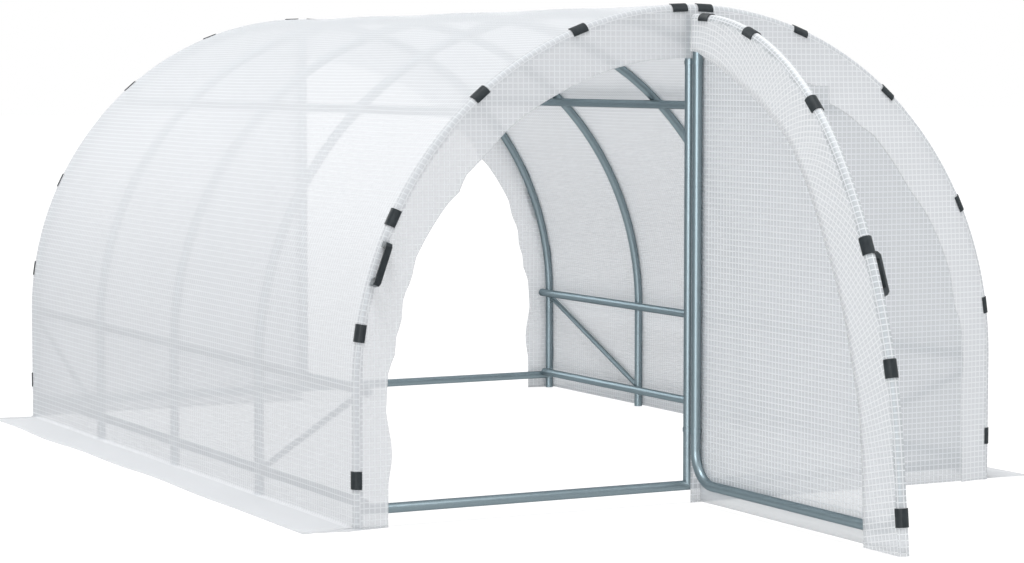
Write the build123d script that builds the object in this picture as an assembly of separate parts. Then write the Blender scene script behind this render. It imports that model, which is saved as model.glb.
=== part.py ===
from build123d import *
from math import cos, degrees, radians, sin, tan
import os

# Polytunnel greenhouse, in millimetres. X runs across it, Y along it and Z up from the ground.
# The doorway of the front end (-Y) is in its left half, and the back end is the front turned half round.

# Overall sizes
tunnel_width = 3000
hoop_spacing = 1000
bay_count = 4
leg_height = 530

# Steel tubes
tube_diameter = 40
brace_diameter = 25
end_bar_height = 72
side_rail_height = 90
purlin_angle = 42
rail_end_overhang = 12
brace_top_drop = 15
brace_foot_height = 100

# Film
film_thickness = 2
fit_gap = 0.3
ground_skirt_width = 215
cover_strip_angle = 30
flap_width_at_crown = 210
flap_width_at_leg = 157

# Clips that hold the film on the end hoops and door leaves
clip_length = 80
clip_wall = 3
clip_lip = 14
hoop_clip_angles = (2.3, 20.4, 39.9, 63.3, 81.2)
hoop_clip_leg_height = 190
door_clip_angles = (3.5, 19, 43, 64, 76)
door_clip_leg_height = 150

# Door leaves
door_crown_inset = 40.7
door_top_share = 0.848
door_side_share = 1.5
door_top_sweep = 54
door_side_sweep = 30
door_plane_offset = 62
door_rail_height = 90
door_bend_radius = 130
door_film_foot = 12
band_crown_inset = 185
band_top_share = 0.62
band_side_share = 1.313
band_top_sweep = 43.5
band_side_sweep = 43.5
door_band_start = 30
hinge_foot_height = 300
hinge_crown_drop = 172
hinge_band_height = 16
hinge_band_wall = 2
hinge_running_gap = 0.5
hinge_notch_margin = 6

# Grab handles
handle_angle = 70.5
door_handle_angle = 67.8
handle_length = 180
handle_rise = 42
handle_width = 28
handle_bar_thickness = 10
handle_leg_length = 26
handle_shoulder = 9
handle_edge = 2

# Worked out from the sizes above
tube_radius = tube_diameter / 2
half_width = tunnel_width / 2
half_length = bay_count * hoop_spacing / 2
hoop_radius = half_width - film_thickness - fit_gap - tube_radius
rail_radius = hoop_radius - tube_diameter - fit_gap
middle_rail_height = leg_height
brace_top_height = middle_rail_height - brace_top_drop
panel_back = half_length + tube_radius + fit_gap
flap_back = panel_back + film_thickness + fit_gap
flap_front = flap_back + film_thickness
fold_radius = flap_back - half_length
fold_centre = half_width - film_thickness - fold_radius
crown_height = leg_height + hoop_radius
door_crown = crown_height - door_crown_inset
door_top_radius = hoop_radius * door_top_share
door_side_radius = hoop_radius * door_side_share
door_hinge_y = -half_length - door_plane_offset
door_film_face = tube_radius + fit_gap
edge_end = door_top_sweep + door_side_sweep
hinge_heights = (hinge_foot_height, door_crown - hinge_crown_drop)

arch_axis = Axis((0, 0, leg_height), (0, 1, 0))
crown_plane = Plane(origin=(0, 0, leg_height), x_dir=(0, 1, 0), z_dir=(1, 0, 0))


# Shared ways of making shapes

def arch_piece(section, from_angle, to_angle):
    """Turn a section, drawn as (y, radius), about the arch axis between two angles from the crown."""
    start = (crown_plane * section).rotate(arch_axis, from_angle)
    return revolve(start, arch_axis, to_angle - from_angle)


def leg_piece(section, top, bottom):
    """Run a section, drawn as (y, radius), straight down between two heights."""
    start = Plane(origin=(0, 0, top), x_dir=(0, 1, 0), z_dir=(0, 0, -1))
    return extrude(start * section, top - bottom)


def half_arch(section, foot):
    """The right-hand half of an arch: a quarter circle on a straight leg."""
    return arch_piece(section, 0, 90) + leg_piece(section, leg_height, foot)


def both_sides(piece):
    """A piece with its mirror image across the tunnel."""
    return piece + mirror(piece, about=Plane.YZ)


def turned_to_back(piece):
    """The same piece at the other end, turned half round."""
    return Rot(0, 0, 180) * piece


def half_outline(curve, half_base, foot):
    """Right-hand half of a closed curve above the spring line, with a straight leg below it."""
    upper = Pos(half_base, leg_height + half_base) * Rectangle(2 * half_base, 2 * half_base)
    leg = Pos(half_base / 2, (leg_height + foot) / 2) * Rectangle(half_base, leg_height - foot)
    return (Pos(0, leg_height) * curve & upper) + leg


def upright_sheet(outline, back_y, thickness):
    """A sheet across the tunnel, from back_y towards the front."""
    face = Plane(origin=(0, back_y, 0), x_dir=(1, 0, 0), z_dir=(0, -1, 0)) * outline
    return extrude(face, thickness)


def tube_between(start, end, diameter):
    """A straight round tube between two points."""
    run = Vector(*end) - Vector(*start)
    return extrude(Plane(origin=start, z_dir=run) * Circle(diameter / 2), run.length)


def ring_part(inner, outer, centre, window):
    """The part of a flat ring that lies in a window given as (x, y, width, height) from its centre."""
    x, y, width, height = window
    ring = Circle(outer) - Circle(inner)
    return Pos(*centre) * (ring & Pos(x, y) * Rectangle(width, height))


# Steel frame

def hoop(y, radius=tube_radius):
    """One arch of round tube that stands on the ground on two straight legs."""
    left_foot = Vector(-hoop_radius, y, 0)
    left_spring = Vector(-hoop_radius, y, leg_height)
    crown = Vector(0, y, leg_height + hoop_radius)
    right_spring = Vector(hoop_radius, y, leg_height)
    right_foot = Vector(hoop_radius, y, 0)
    path = Wire(
        [
            Line(left_foot, left_spring).edge(),
            ThreePointArc(left_spring, crown, right_spring).edge(),
            Line(right_spring, right_foot).edge(),
        ]
    )
    section = Plane(origin=left_foot, z_dir=(0, 0, 1)) * Circle(radius)
    return sweep(section, path=path)


def leg_clearance(y):
    """The space that the two legs of a hoop take, with the gap that a tube end leaves there."""
    leg = Cylinder(tube_radius + fit_gap, leg_height + 2 * half_width)
    return Pos(-hoop_radius, y, 0) * leg + Pos(hoop_radius, y, 0) * leg


def end_bar():
    """The bar along the ground between the legs of the front hoop, its ends cut to the legs."""
    start = (-hoop_radius, -half_length, end_bar_height)
    end = (hoop_radius, -half_length, end_bar_height)
    return tube_between(start, end, tube_diameter) - leg_clearance(-half_length)


def centre_post():
    """The post from the end bar to the crown of the front hoop, both ends cut to the tubes they meet."""
    post = tube_between(
        (0, -half_length, end_bar_height), (0, -half_length, leg_height + hoop_radius), tube_diameter
    )
    bar_space = Pos(0, -half_length, end_bar_height) * Rot(0, 90, 0) * Cylinder(
        tube_radius + fit_gap, 2 * tube_diameter
    )
    return post - bar_space - hoop(-half_length, tube_radius + fit_gap)


def side_rails(height, end):
    """A pair of long tubes on the inner side of the legs."""
    start = (rail_radius, -end, height)
    return both_sides(tube_between(start, (rail_radius, end, height), tube_diameter))


def purlins():
    """The pair of long tubes under the roof, on the inner side of the hoops."""
    end = half_length + rail_end_overhang
    x = rail_radius * sin(radians(purlin_angle))
    z = leg_height + rail_radius * cos(radians(purlin_angle))
    return both_sides(tube_between((x, -end, z), (x, end, z), tube_diameter))


def diagonal_braces():
    """A thin slanted tube in each end bay of each side, between the legs of two hoops."""
    top = (hoop_radius, -half_length, brace_top_height)
    foot = (hoop_radius, -half_length + hoop_spacing, brace_foot_height)
    brace = tube_between(top, foot, brace_diameter)
    brace -= leg_clearance(-half_length)
    brace -= leg_clearance(-half_length + hoop_spacing)
    pair = both_sides(brace)
    return pair + mirror(pair, about=Plane.XZ)


# Film cover

def cover_section():
    """The thin section of the film over the hoops, from end hoop to end hoop."""
    middle = half_width - film_thickness / 2
    return Pos(0, middle) * Rectangle(2 * half_length, film_thickness)


def cover_wall():
    """The upright foot of the cover on the right-hand side."""
    return leg_piece(cover_section(), leg_height, 0)


def cover_strip(index):
    """One strip of the arched cover on the right-hand side, counted from the crown."""
    start = index * cover_strip_angle
    return arch_piece(cover_section(), start, start + cover_strip_angle)


def ground_skirt():
    """The edge of the film that lies out flat on the ground on the right-hand side."""
    centre_x = half_width + ground_skirt_width / 2
    strip = Box(ground_skirt_width, 2 * flap_front, film_thickness)
    return Pos(centre_x, 0, film_thickness / 2) * strip


def hinge_notches(depth, back_y):
    """The cut-outs that let the hinge bands through the edge of a sheet."""
    height = hinge_band_height + 2 * hinge_notch_margin
    notch = Box(2 * depth, 4 * film_thickness, height)
    pieces = [Pos(0, back_y, z) * notch for z in hinge_heights]
    return pieces[0] + pieces[1:]


def end_flap():
    """The right-hand half of the film that folds round the front hoop and hangs in front of it."""
    outer = fold_radius + film_thickness
    fold = ring_part(
        fold_radius, outer, (-half_length, fold_centre), (-outer / 2, outer / 2, outer, outer)
    )
    wrap = half_arch(fold, 0)
    edge = half_outline(Circle(fold_centre), fold_centre, 0)
    inner_base = half_width - flap_width_at_leg
    inner_rise = half_width - flap_width_at_crown
    hole = half_outline(Ellipse(inner_base, inner_rise), inner_base, 0)
    return wrap + upright_sheet(edge - hole, -flap_back, film_thickness)


def end_panel():
    """The film that closes the right-hand half of the front end, behind the flap."""
    outline = half_outline(Circle(hoop_radius), hoop_radius, 0)
    depth = tube_radius + 2 * hinge_notch_margin
    sheet = upright_sheet(outline, -panel_back, film_thickness)
    return sheet - hinge_notches(depth, -panel_back)


# Clips

def hoop_clip_section():
    """A wall that follows the folded film round the corner, with a lip along each face."""
    inner = fold_radius + film_thickness + fit_gap
    outer = inner + clip_wall
    corner = ring_part(
        inner, outer, (-half_length, fold_centre), (-outer / 2, outer / 2, outer, outer)
    )
    middle = inner + clip_wall / 2
    side_lip = Pos(-half_length + clip_lip / 2, fold_centre + middle) * Rectangle(clip_lip, clip_wall)
    face_lip = Pos(-half_length - middle, fold_centre - clip_lip / 2) * Rectangle(clip_wall, clip_lip)
    return corner + side_lip + face_lip


def door_clip_section():
    """A half-round wall over the edge tube of a door leaf, with a lip on each face."""
    inner = door_film_face + film_thickness + fit_gap
    outer = inner + clip_wall
    cap = ring_part(inner, outer, (0, 0), (0, outer / 2, 2 * outer, outer))
    middle = inner + clip_wall / 2
    lip = Pos(0, -clip_lip / 2) * Rectangle(clip_wall, clip_lip)
    return cap + Pos(middle, 0) * lip + Pos(-middle, 0) * lip


def hoop_clips():
    """The clips on both sides of the front hoop, five along the arch and one on the leg."""
    section = hoop_clip_section()
    half_angle = degrees(clip_length / 2 / hoop_radius)
    clips = [
        arch_piece(section, max(angle - half_angle, 0.3), angle + half_angle)
        for angle in hoop_clip_angles
    ]
    top = hoop_clip_leg_height + clip_length / 2
    clips.append(leg_piece(section, top, top - clip_length))
    return both_sides(clips[0] + clips[1:])


# Handles

def grab_handle():
    """A flat bar on two stout legs, lying along X and standing out along Z from the origin."""
    end = handle_length / 2
    inner = end - handle_leg_length
    under = handle_rise - handle_bar_thickness
    outer_line = [(end, 0), (end - handle_shoulder / 2, under), (end - 2 * handle_shoulder, handle_rise)]
    inner_line = [(inner, 0), (inner - handle_shoulder / 2, under - handle_shoulder), (inner - handle_shoulder, under)]
    right = outer_line[::-1] + inner_line
    left = [(-x, z) for x, z in reversed(right)]
    side = make_face(Polyline(*right, *left, close=True))
    start = Plane(origin=(0, handle_width / 2, 0), x_dir=(1, 0, 0), z_dir=(0, -1, 0))
    bar = extrude(start * side, handle_width)
    top_edges = bar.edges().group_by(Axis.Z)[-1].filter_by(Axis.X)
    return chamfer(top_edges, handle_edge)


def handle_at(x, z, slope, y, outward):
    """A handle on a face at y, with slope as the way it runs and outward as the way it stands out."""
    return Plane(origin=(x, y, z), x_dir=slope, z_dir=(0, outward, 0)) * grab_handle()


def hoop_handle():
    """The handle on the front of the hoop, on the doorway side."""
    angle = radians(handle_angle)
    x = -hoop_radius * sin(angle)
    z = leg_height + hoop_radius * cos(angle)
    return handle_at(x, z, (-cos(angle), 0, -sin(angle)), -flap_front - fit_gap, -1)


# Door leaf, drawn in its own frame: X runs out from the hinge tube, +Y is its outer face

def edge_arc(angle):
    """Centre height, centre distance and radius of the edge's arc that holds an angle from the crown."""
    if angle < door_top_sweep:
        return door_crown - door_top_radius, 0, door_top_radius
    shift = door_top_radius - door_side_radius
    turn = radians(door_top_sweep)
    return door_crown - door_top_radius + shift * cos(turn), shift * sin(turn), door_side_radius


def edge_point(angle, arc):
    """Point of the edge at an angle from the crown, as distance out and height."""
    centre_height, centre_out, radius = arc
    turn = radians(angle)
    return centre_out + radius * sin(turn), centre_height + radius * cos(turn)


def edge_plane(angle, out, height):
    """The plane across the edge at a point, with its X along +Y and its Y pointing outwards."""
    turn = radians(angle)
    return Plane(origin=(out, 0, height), x_dir=(0, 1, 0), z_dir=(cos(turn), 0, -sin(turn)))


def edge_piece(section, from_angle, to_angle):
    """Turn a section, drawn as (y, distance outwards), along one arc of the leaf's edge."""
    arc = edge_arc((from_angle + to_angle) / 2)
    start = edge_plane(from_angle, *edge_point(from_angle, arc)) * section
    return revolve(start, Axis((arc[1], 0, arc[0]), (0, 1, 0)), to_angle - from_angle)


def edge_foot(height):
    """Distance out of the edge's straight foot at a height."""
    out, top = edge_point(edge_end, edge_arc(edge_end))
    return out + (top - height) / tan(radians(edge_end))


def edge_leg(section, top, bottom):
    """Run a section down the straight foot of the leaf's edge, between two heights."""
    start = edge_plane(edge_end, edge_foot(top), top) * section
    return extrude(start, (top - bottom) / sin(radians(edge_end)))


def along_edge(section, foot):
    """Run a section along the whole edge of a leaf, from the crown to its foot."""
    top = edge_point(edge_end, edge_arc(edge_end))[1]
    arcs = edge_piece(section, 0, door_top_sweep) + edge_piece(section, door_top_sweep, edge_end)
    return arcs + edge_leg(section, top, foot)


def under_curve(crown, top_radius, top_sweep, side_radius, side_sweep):
    """The area between the hinge line and a curve of two arcs that runs straight on to the foot."""
    centre = Vector(0, crown - top_radius)
    turn = radians(top_sweep)
    side_centre = centre + Vector(sin(turn), cos(turn)) * (top_radius - side_radius)
    top_arc = CenterArc(centre, top_radius, 90, -top_sweep)
    side_arc = CenterArc(side_centre, side_radius, 90 - top_sweep, -side_sweep)
    knee = side_arc @ 1
    foot_x = knee.X + (knee.Y - door_film_foot) / tan(radians(top_sweep + side_sweep))
    closing = Polyline(knee, (foot_x, door_film_foot), (0, door_film_foot), (0, crown))
    return make_face(Curve() + [top_arc, side_arc, closing])


def leaf_area():
    """The area of a leaf up to the middle of its edge tube."""
    return under_curve(door_crown, door_top_radius, door_top_sweep, door_side_radius, door_side_sweep)


def door_frame():
    """The tube of a leaf: hinge tube, bottom rail and arched edge, bent and joined in one loop."""
    knee = edge_point(edge_end, edge_arc(edge_end))
    corner = (edge_foot(door_rail_height), door_rail_height)
    corners = [(0, door_crown), (0, door_rail_height), corner, knee]
    path = FilletPolyline(*[(x, 0, z) for x, z in corners], radius=door_bend_radius)
    tube = Circle(tube_radius)
    sides = sweep(Plane(origin=(0, 0, door_crown), z_dir=(0, 0, -1)) * tube, path=path)
    arcs = edge_piece(tube, 0, door_top_sweep) + edge_piece(tube, door_top_sweep, edge_end)
    return sides + arcs + Pos(0, 0, door_crown) * Sphere(tube_radius)


def door_film():
    """The flat film on the outer face of a leaf, cut away round the hinge bands."""
    face = door_film_face + film_thickness
    depth = tube_radius + 2 * hinge_notch_margin
    return upright_sheet(leaf_area(), face, film_thickness) - hinge_notches(depth, face)


def door_hem():
    """The edge of a leaf's film, folded round the arched tube on to the inner face."""
    outer = door_film_face + film_thickness
    fold = ring_part(door_film_face, outer, (0, 0), (0, outer / 2, 2 * outer, outer))
    wrap = along_edge(fold, door_film_foot)
    band_crown = crown_height - band_crown_inset
    top_radius = hoop_radius * band_top_share
    side_radius = hoop_radius * band_side_share
    hole = under_curve(band_crown, top_radius, band_top_sweep, side_radius, band_side_sweep)
    band = upright_sheet(leaf_area() - hole, -door_film_face, film_thickness)
    start = Pos(0, 0, leg_height) * Box(2 * door_band_start, 4 * outer, 4 * door_crown)
    return wrap + band - start


def door_clips():
    """The clips along the arched edge of a leaf."""
    section = door_clip_section()
    clips = []
    for angle in door_clip_angles:
        half_angle = degrees(clip_length / 2 / edge_arc(angle)[2])
        clips.append(edge_piece(section, max(angle - half_angle, 0.3), angle + half_angle))
    top = door_clip_leg_height + clip_length / 2
    clips.append(edge_leg(section, top, top - clip_length))
    return clips[0] + clips[1:]


def door_handle():
    """The grab handle on the outer face of a leaf, over its arched tube."""
    angle = radians(door_handle_angle)
    x, z = edge_point(door_handle_angle, edge_arc(door_handle_angle))
    face = door_film_face + film_thickness + fit_gap
    return handle_at(x, z, (cos(angle), 0, -sin(angle)), face, 1)


def hung_door(piece):
    """A leaf's piece moved to its hinge, with the leaf standing straight out from the front."""
    return Pos(0, door_hinge_y, 0) * Rot(0, 0, -90) * piece


def hinge_bands():
    """Flat bands round the post and round the hinge tube, joined by a short web."""
    post_hole = tube_radius + fit_gap
    door_hole = tube_radius + hinge_running_gap
    pair = Pos(0, -half_length) * Circle(post_hole + hinge_band_wall)
    pair += Pos(0, door_hinge_y) * Circle(door_hole + hinge_band_wall)
    web_centre = (door_hinge_y - half_length) / 2
    pair += Pos(0, web_centre) * Rectangle(3 * hinge_band_wall, door_plane_offset)
    pair -= Pos(0, -half_length) * Circle(post_hole)
    pair -= Pos(0, door_hinge_y) * Circle(door_hole)
    bands = [
        Pos(0, 0, z - hinge_band_height / 2) * extrude(pair, hinge_band_height) for z in hinge_heights
    ]
    return bands[0] + bands[1:]


# Assembly

hoop_names = ("front_hoop", "second_hoop", "middle_hoop", "fourth_hoop", "back_hoop")
strip_names = ("top", "shoulder", "lower")

parts = {}
for index, name in enumerate(hoop_names):
    parts[name] = hoop(-half_length + index * hoop_spacing)
parts["bottom_side_rails"] = side_rails(side_rail_height, half_length - tube_radius - fit_gap)
parts["middle_side_rails"] = side_rails(middle_rail_height, half_length + rail_end_overhang)
parts["roof_purlins"] = purlins()
parts["diagonal_braces"] = diagonal_braces()

parts["cover_right_wall"] = cover_wall()
for index, name in enumerate(strip_names):
    parts[f"cover_right_{name}"] = cover_strip(index)
parts["right_ground_skirt"] = ground_skirt()
for name in [name for name in parts if "right" in name]:
    parts[name.replace("right", "left")] = turned_to_back(parts[name])

front_end = {
    "bottom_bar": end_bar(),
    "centre_post": centre_post(),
    "closed_flap": end_flap(),
    "doorway_flap": mirror(end_flap(), about=Plane.YZ),
    "end_panel": end_panel(),
    "hoop_clips": hoop_clips(),
    "hoop_handle": hoop_handle(),
    "hinge_bands": hinge_bands(),
    "door_frame": hung_door(door_frame()),
    "door_film": hung_door(door_film()),
    "door_hem": hung_door(door_hem()),
    "door_clips": hung_door(door_clips()),
    "door_handle": hung_door(door_handle()),
}
for name, piece in front_end.items():
    parts[f"front_{name}"] = piece
    parts[f"back_{name}"] = turned_to_back(piece)

os.makedirs("parts", exist_ok=True)
for name, piece in parts.items():
    export_step(piece, f"parts/{name}.step")
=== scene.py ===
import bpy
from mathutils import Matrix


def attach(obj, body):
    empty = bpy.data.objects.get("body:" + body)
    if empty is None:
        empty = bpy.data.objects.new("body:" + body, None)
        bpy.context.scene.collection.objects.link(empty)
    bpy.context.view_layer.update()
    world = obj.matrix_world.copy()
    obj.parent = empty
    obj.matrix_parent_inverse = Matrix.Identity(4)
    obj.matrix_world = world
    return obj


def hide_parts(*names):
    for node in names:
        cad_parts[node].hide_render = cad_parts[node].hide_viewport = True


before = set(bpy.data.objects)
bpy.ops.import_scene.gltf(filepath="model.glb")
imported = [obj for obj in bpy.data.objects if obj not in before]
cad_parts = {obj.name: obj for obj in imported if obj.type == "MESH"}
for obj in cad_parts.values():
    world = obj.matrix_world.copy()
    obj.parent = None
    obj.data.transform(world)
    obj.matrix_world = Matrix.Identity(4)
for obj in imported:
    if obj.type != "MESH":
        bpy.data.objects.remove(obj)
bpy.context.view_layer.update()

"""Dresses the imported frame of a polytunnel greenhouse: film, steel tube, clips and grab handles.

Everything is in metres in the frame's own axes: X runs across the tunnel, Y along it and Z up. The doorway
of the front end, at -Y, is in its left half, and the back end is the front turned half round.
"""

import logging
import math
from dataclasses import dataclass, field
from enum import Enum
from typing import Callable, NamedTuple, Sequence

import bmesh
import bpy
import numpy as np
from mathutils import Matrix, Vector

log = logging.getLogger("polytunnel")

Point = tuple[float, float, float]
Flat = tuple[float, float]
Colour = tuple[float, float, float]
Socket = bpy.types.NodeSocket


class Body(Enum):
    """The CAD bodies that a piece can ride on."""

    TUNNEL = "tunnel"
    FRONT_DOOR = "front_door"
    BACK_DOOR = "back_door"


class End(Enum):
    """The two ends of the tunnel, with the sign that turns the front's shape into that end's."""

    FRONT = 1
    BACK = -1

    @property
    def label(self) -> str:
        """How the names of this end's pieces and nodes begin."""
        return self.name.lower()

    @property
    def door(self) -> Body:
        """The body of this end's leaf."""
        return Body(f"{self.label}_door")


class Slot(Enum):
    """The record's material slots."""

    STEEL = "galvanised_tube"
    FILM = "reinforced_film"
    PLASTIC = "black_plastic"


def linear(red: int, green: int, blue: int) -> Colour:
    """Turns a colour of 0 to 255 a channel into the linear numbers that a shader takes.

    Args:
        red: Red as a screen shows it.
        green: Green as a screen shows it.
        blue: Blue as a screen shows it.

    Returns:
        The three linear channels.
    """
    values = (channel / 255 for channel in (red, green, blue))
    return tuple(v / 12.92 if v <= 0.04045 else ((v + 0.055) / 1.055) ** 2.4 for v in values)


def heading(angle: float) -> Flat:
    """Gives the way out at an angle from the crown.

    Args:
        angle: The angle in degrees.

    Returns:
        Its part outwards and its part upwards.
    """
    turn = math.radians(angle)
    return math.sin(turn), math.cos(turn)


# Sizes of the frame that the pieces are fitted to


@dataclass(frozen=True)
class Tunnel:
    """Sizes that the CAD gives to the frame in metres, and the handles' angles from the crown in degrees."""

    half_width: float = 1.5
    half_length: float = 2.0
    spring_height: float = 0.53
    hoop_radius: float = 1.4777
    hoop_spacing: float = 1.0
    fold_centre: float = 1.4754
    fold_radius: float = 0.0236
    flap_plane: float = 2.0236
    panel_plane: float = 2.0213
    leaf_plane: float = 0.0213
    leaf_hinge: float = 2.062
    leaf_foot: float = 0.012
    handle_angle: float = 70.5
    leaf_handle_angle: float = 66.9
    leaf_handle_inset: float = 0.03
    handle_gap: float = 0.0013


TUNNEL = Tunnel()


@dataclass(frozen=True)
class LeafEdge:
    """The middle line of a leaf's arched tube: two arcs from the crown, and a straight foot that leans out.

    Attributes:
        top: Distance out and height of the centre of the arc at the crown, and its radius, in metres.
        side: The same for the arc below it.
        top_end: Angle from the crown, in degrees, at which the top arc ends.
        side_end: Angle at which the side arc ends and the foot begins.
    """

    top: Point = (0.0, 0.71391, 1.25309)
    side: Point = (-0.77946, 0.14760, 2.21655)
    top_end: float = 54.0
    side_end: float = 84.0

    def spot(self, angle: float) -> Flat:
        """Gives the place at an angle from the crown.

        Args:
            angle: The angle in degrees.

        Returns:
            Distance out and height, in metres.
        """
        out, height, radius = self.top if angle <= self.top_end else self.side
        outwards, upwards = heading(angle)
        return out + radius * outwards, height + radius * upwards

    def foot(self, height: float) -> Flat:
        """Distance out and height on the straight foot."""
        out, top = self.spot(self.side_end)
        return out + (top - height) / math.tan(math.radians(self.side_end)), height


LEAF_EDGE = LeafEdge()


def turned(point: Point, end: End) -> Point:
    """Gives a point of the front end its place at either end."""
    return (point[0] * end.value, point[1] * end.value, point[2])


def leaf_to_world(point: Point, end: End) -> Point:
    """Hangs a point of a door leaf on its hinge, with the leaf standing straight out.

    Args:
        point: Distance out from the hinge tube, towards the outer face, and up.
        end: The end of the tunnel that the leaf hangs at.

    Returns:
        The point in the frame's axes.
    """
    out, face, up = point
    return turned((face, -TUNNEL.leaf_hinge - out, up), end)


# Shader building


class Sketch:
    """A short way to lay down shader nodes and link them."""

    def __init__(self, tree: bpy.types.NodeTree) -> None:
        """Starts on a tree and keeps count of its columns."""
        self.tree = tree
        self.count = 0

    def node(self, kind: str, **settings: object) -> bpy.types.Node:
        """Adds a node.

        Args:
            kind: The node's type name.
            settings: Attributes that are set on it.

        Returns:
            The new node.
        """
        made = self.tree.nodes.new(kind)
        made.location = (180 * self.count, 0)
        self.count += 1
        for name, value in settings.items():
            setattr(made, name, value)
        return made

    def feed(self, socket: Socket, value: object) -> None:
        """Links a socket to another one, or sets its plain value.

        Args:
            socket: The input socket.
            value: The socket that feeds it, or the value.
        """
        if isinstance(value, Socket):
            self.tree.links.new(value, socket)
        else:
            socket.default_value = value

    def math(self, operation: str, first: object, second: object = 0.0, third: object = 0.0) -> Socket:
        """Adds a Math node.

        Args:
            operation: The operation's name.
            first: First value or socket.
            second: Second value or socket.
            third: Third value or socket.

        Returns:
            The socket with the result.
        """
        made = self.node("ShaderNodeMath", operation=operation)
        for socket, value in zip(made.inputs, (first, second, third)):
            self.feed(socket, value)
        return made.outputs[0]

    def blend(self, factor: object, first: object, second: object) -> Socket:
        """Mixes two colours.

        Args:
            factor: Share of the second colour.
            first: Colour or socket.
            second: Colour or socket.

        Returns:
            The mixed colour's socket.
        """
        made = self.node("ShaderNodeMix", data_type="RGBA")
        # Each type of value has its own A and B, and 6 and 7 are those of colours.
        self.feed(made.inputs[0], factor)
        self.feed(made.inputs[6], first)
        self.feed(made.inputs[7], second)
        return made.outputs[2]

    def attribute(self, name: str, output: str = "Fac") -> Socket:
        """Reads an attribute of the mesh."""
        return self.node("ShaderNodeAttribute", attribute_name=name).outputs[output]

    def seen(self) -> Socket:
        """Tells the rays that look, from the camera, in gloss and through glass, from those that light.

        Returns:
            A socket with 1 for a ray that looks, and 0 for one that lights.
        """
        path = self.node("ShaderNodeLightPath").outputs
        looks = self.math("ADD", path["Is Camera Ray"], path["Is Glossy Ray"])
        return self.math("MINIMUM", self.math("ADD", looks, path["Is Transmission Ray"]), 1.0)

    def bump(self, shader: bpy.types.Node, height: Socket, strength: float, distance: float) -> None:
        """Gives a shader a bump.

        Args:
            shader: The shader.
            height: The height's socket.
            strength: How strong the bump is.
            distance: Its depth in metres.
        """
        made = self.node("ShaderNodeBump")
        made.inputs["Strength"].default_value = strength
        made.inputs["Distance"].default_value = distance
        self.feed(made.inputs["Height"], height)
        self.feed(shader.inputs["Normal"], made.outputs[0])

    def group(self, tree: bpy.types.NodeTree, **values: object) -> bpy.types.Node:
        """Places a node group and sets its inputs.

        Args:
            tree: The group's tree.
            values: Inputs by name, with an underscore for each space.

        Returns:
            The group node.
        """
        made = self.node("ShaderNodeGroup", node_tree=tree)
        for name, value in values.items():
            self.feed(made.inputs[name.replace("_", " ").title()], value)
        return made


def new_group(name: str, inputs: dict[str, object], outputs: Sequence[str]) -> tuple[Sketch, dict, dict]:
    """Starts a shader node group.

    Args:
        name: The group's name.
        inputs: Default of each input by name, or None for a vector.
        outputs: Names of the value outputs.

    Returns:
        The sketch of the group, its input sockets by name and its output sockets by name.
    """
    tree = bpy.data.node_groups.new(name, "ShaderNodeTree")
    for label, default in inputs.items():
        kind = "NodeSocketVector" if default is None else "NodeSocketFloat"
        socket = tree.interface.new_socket(label, in_out="INPUT", socket_type=kind)
        if default is not None:
            socket.default_value = default
    for label in outputs:
        tree.interface.new_socket(label, in_out="OUTPUT", socket_type="NodeSocketFloat")
    sketch = Sketch(tree)
    entry = sketch.node("NodeGroupInput")
    leave = sketch.node("NodeGroupOutput")
    return sketch, {s.name: s for s in entry.outputs if s.name}, {s.name: s for s in leave.inputs if s.name}


def thread_group() -> bpy.types.NodeTree:
    """Builds the square net of threads that is laminated in the film.

    Returns:
        A group that takes a place on the film in metres, and gives the threads' mask.
    """
    sketch, given, out = new_group(
        "film_threads", {"Place": None, "Pitch": 0.023, "Thread": 0.004, "Softness": 0.001}, ["Mask"]
    )
    split = sketch.node("ShaderNodeSeparateXYZ")
    sketch.feed(split.inputs[0], given["Place"])
    lines = []
    for axis in (0, 1):
        turns = sketch.math("DIVIDE", split.outputs[axis], given["Pitch"])
        offset = sketch.math("ABSOLUTE", sketch.math("SUBTRACT", sketch.math("FRACT", turns), 0.5))
        distance = sketch.math("MULTIPLY", offset, given["Pitch"])
        edge = sketch.math("DIVIDE", given["Thread"], 2.0)
        inside = sketch.math("DIVIDE", sketch.math("SUBTRACT", edge, distance), given["Softness"])
        line = sketch.node("ShaderNodeClamp")
        sketch.feed(line.inputs[0], sketch.math("ADD", inside, 0.5))
        lines.append(line.outputs[0])
    sketch.feed(out["Mask"], sketch.math("MAXIMUM", *lines))
    return sketch.tree


def mottle_group() -> bpy.types.NodeTree:
    """Builds a slow unevenness with a fine grain on it.

    Returns:
        A group that takes a place, and gives a factor about 1 and a height about 0.
    """
    sketch, given, out = new_group(
        "mottle", {"Place": None, "Patches": 3.0, "Grain": 300.0, "Amount": 0.05}, ["Factor", "Height"]
    )
    values = []
    for label, detail in (("Patches", 3.0), ("Grain", 2.0)):
        noise = sketch.node("ShaderNodeTexNoise")
        sketch.feed(noise.inputs["Vector"], given["Place"])
        sketch.feed(noise.inputs["Scale"], given[label])
        noise.inputs["Detail"].default_value = detail
        values.append(sketch.math("SUBTRACT", noise.outputs["Fac"], 0.5))
    both = sketch.math("MULTIPLY_ADD", values[1], 0.4, values[0])
    sketch.feed(out["Factor"], sketch.math("MULTIPLY_ADD", both, given["Amount"], 1.0))
    sketch.feed(out["Height"], values[1])
    return sketch.tree


# Finishes


@dataclass(frozen=True)
class Effects:
    """The shader groups that the finishes share."""

    threads: bpy.types.NodeTree
    mottle: bpy.types.NodeTree

    @classmethod
    def build(cls) -> "Effects":
        """Makes each group once."""
        return cls(thread_group(), mottle_group())


class Coat(NamedTuple):
    """A material and the record's slot that it belongs to."""

    material: bpy.types.Material
    slot: Slot


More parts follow.
